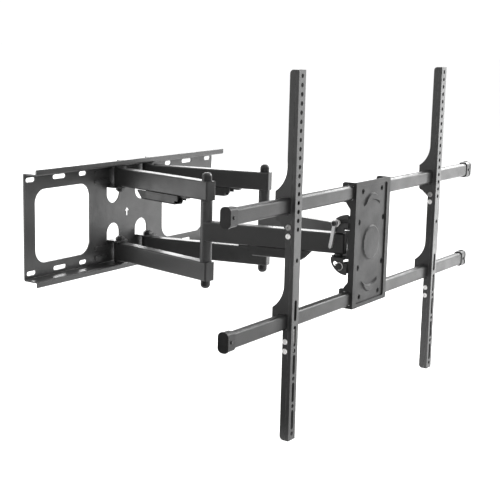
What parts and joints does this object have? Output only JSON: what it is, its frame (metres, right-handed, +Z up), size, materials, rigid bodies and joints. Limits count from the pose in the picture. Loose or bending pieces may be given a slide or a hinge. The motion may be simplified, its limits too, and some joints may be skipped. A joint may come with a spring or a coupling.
{
  "type": "full motion tv wall mount",
  "caption": "Full motion wall mount for a large flat screen: folding double arms on a wall plate carry a tilting head with two rails and sliding screen brackets.",
  "frame": {"origin": "centre of the wall plate's back face, on the wall", "axes": "+X to the right as seen from the room, +Y into the wall, +Z up"},
  "size_m": [0.948, 0.6149, 0.643],
  "materials": {
    "powder_coat": "satin black powder coat",
    "head_coat": "satin black powder coat",
    "black_plastic": "fine grained black plastic",
    "cap_plastic": "smooth black plastic",
    "bearing_plastic": "plain dark bearing plastic",
    "zinc_steel": "bright zinc plate",
    "black_steel": "black oxide",
    "sunk_steel": "dull black oxide",
    "hook_steel": "grey plated steel",
    "lever_steel": "light plated steel"
  },
  "bodies": {
    "wall": {"wall_plate": "powder_coat", "wall_hinge_bolts": "black_steel", "wall_hinge_nuts": "black_steel", "wall_hinge_spacers": "bearing_plastic", "wall_hinge_washers": "black_steel"},
    "left_inner": {"left_upper_inner_arm": "powder_coat", "left_lower_inner_arm": "powder_coat", "left_inner_arm_plugs": "black_plastic", "left_inner_cable_clip": "black_plastic", "left_elbow_axle": "zinc_steel", "left_elbow_nuts": "zinc_steel", "left_elbow_washers": "bearing_plastic", "left_elbow_caps": "cap_plastic"},
    "left_outer": {"left_outer_arm": "powder_coat", "left_elbow_sleeve": "powder_coat", "left_outer_arm_plug": "black_plastic", "left_outer_cable_clip": "black_plastic"},
    "right_inner": {"right_upper_inner_arm": "powder_coat", "right_lower_inner_arm": "powder_coat", "right_inner_arm_plugs": "black_plastic", "right_inner_cable_clip": "black_plastic", "right_elbow_axle": "zinc_steel", "right_elbow_nuts": "zinc_steel", "right_elbow_washers": "bearing_plastic", "right_elbow_caps": "cap_plastic"},
    "right_outer": {"right_outer_arm": "powder_coat", "right_elbow_sleeve": "powder_coat", "right_outer_arm_plug": "black_plastic", "right_outer_cable_clip": "black_plastic"},
    "yoke": {"yoke": "powder_coat", "head_hinge_bolts": "black_steel", "head_hinge_nuts": "zinc_steel", "head_hinge_bushes": "bearing_plastic"},
    "head": {"head_plate": "head_coat", "tilt_bracket": "powder_coat", "panel_screws": "sunk_steel", "tilt_bolts": "black_steel", "tilt_nuts": "zinc_steel", "tilt_washers": "zinc_steel", "lever_screw": "black_steel", "top_rail": "powder_coat", "bottom_rail": "powder_coat", "rail_end_caps": "cap_plastic", "rail_bolts": "sunk_steel", "cap_screws": "black_steel"},
    "lever": {"tilt_lever": "lever_steel"},
    "left_bracket": {"left_screen_bracket": "powder_coat", "left_lock_tab": "zinc_steel", "left_lock_screws": "zinc_steel", "left_hook_screw": "hook_steel"},
    "right_bracket": {"right_screen_bracket": "powder_coat", "right_lock_tab": "zinc_steel", "right_lock_screws": "zinc_steel", "right_hook_screw": "hook_steel"}
  },
  "joints": [
    {"name": "fold", "type": "hinge", "parent": "wall", "child": "left_inner", "pos_m": [-0.0475, -0.0225, 0], "axis": [0, 0, -1], "range_deg": [-10, 72]},
    {"name": "left_elbow", "type": "hinge", "parent": "left_inner", "child": "left_outer", "pos_m": [-0.10488, -0.29247, 0], "axis": [0, 0, -1], "range_deg": [-144, 20]},
    {"name": "left_head_hinge", "type": "hinge", "parent": "left_outer", "child": "yoke", "pos_m": [-0.0475, -0.56244, 0], "axis": [0, 0, -1], "range_deg": [-10, 72]},
    {"name": "right_wall_hinge", "type": "hinge", "parent": "wall", "child": "right_inner", "pos_m": [0.0475, -0.0225, 0], "axis": [0, 0, -1], "range_deg": [-72, 10]},
    {"name": "right_elbow", "type": "hinge", "parent": "right_inner", "child": "right_outer", "pos_m": [0.10488, -0.29247, 0], "axis": [0, 0, -1], "range_deg": [-20, 144]},
    {"name": "tilt", "type": "hinge", "parent": "yoke", "child": "head", "pos_m": [0, -0.58994, 0], "axis": [1, 0, 0], "range_deg": [-3, 15]},
    {"name": "lever_swing", "type": "hinge", "parent": "head", "child": "lever", "pos_m": [-0.077, -0.56787, 0.0415], "axis": [-1, 0, 0], "range_deg": [-25, 180]},
    {"name": "left_bracket_slide", "type": "slide", "parent": "head", "child": "left_bracket", "axis": [1, 0, 0], "range_m": [-0.15, 0.18]},
    {"name": "right_bracket_slide", "type": "slide", "parent": "head", "child": "right_bracket", "axis": [1, 0, 0], "range_m": [-0.18, 0.15]}
  ],
  "couplings": [
    {"joint": "left_elbow", "follows": "fold", "ratio": -2},
    {"joint": "left_head_hinge", "follows": "fold", "ratio": 1},
    {"joint": "right_wall_hinge", "follows": "fold", "ratio": -1},
    {"joint": "right_elbow", "follows": "fold", "ratio": 2},
    {"joint": "lever_swing", "follows": "fold", "ratio": 2.5}
  ]
}
